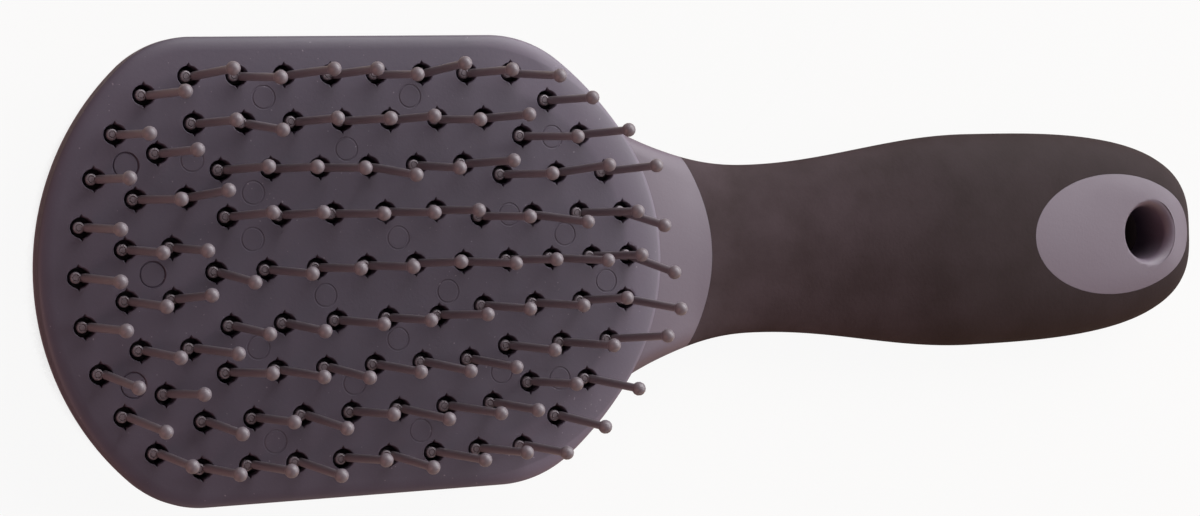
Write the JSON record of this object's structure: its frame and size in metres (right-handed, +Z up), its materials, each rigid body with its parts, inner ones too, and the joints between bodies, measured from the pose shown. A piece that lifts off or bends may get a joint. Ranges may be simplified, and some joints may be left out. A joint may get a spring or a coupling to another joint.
{
  "type": "mane and tail brush",
  "caption": "Rigid horse mane and tail brush: wide flat head of ball-tipped pins in a perforated face plate, narrow neck, soft grip and a hang hole.",
  "frame": {"origin": "on the surface the brush lies on, below the middle of its length and width", "axes": "+X along the brush from its nose to the end of its handle, +Z up from its back to its pin side, +Y to the left"},
  "size_m": [0.252, 0.0846, 0.0369],
  "materials": {
    "body_plastic": "fine matt grey",
    "plate_plastic": "fine matt grey",
    "pin_nylon": "semi-matt grey",
    "grip_rubber": "matt, soft touch"
  },
  "bodies": {
    "root": {"handle_body": "body_plastic", "face_plate": "plate_plastic", "grip_sleeve": "grip_rubber", "nose_comb_outer": "pin_nylon", "nose_comb_middle": "pin_nylon", "nose_comb_inner": "pin_nylon", "middle_comb": "pin_nylon", "left_shoulder_comb": "pin_nylon", "left_side_comb_1": "pin_nylon", "left_side_comb_2": "pin_nylon", "left_side_comb_3": "pin_nylon", "left_side_comb_4": "pin_nylon", "right_shoulder_comb": "pin_nylon", "right_side_comb_1": "pin_nylon", "right_side_comb_2": "pin_nylon", "right_side_comb_3": "pin_nylon", "right_side_comb_4": "pin_nylon"}
  },
  "joints": []
}
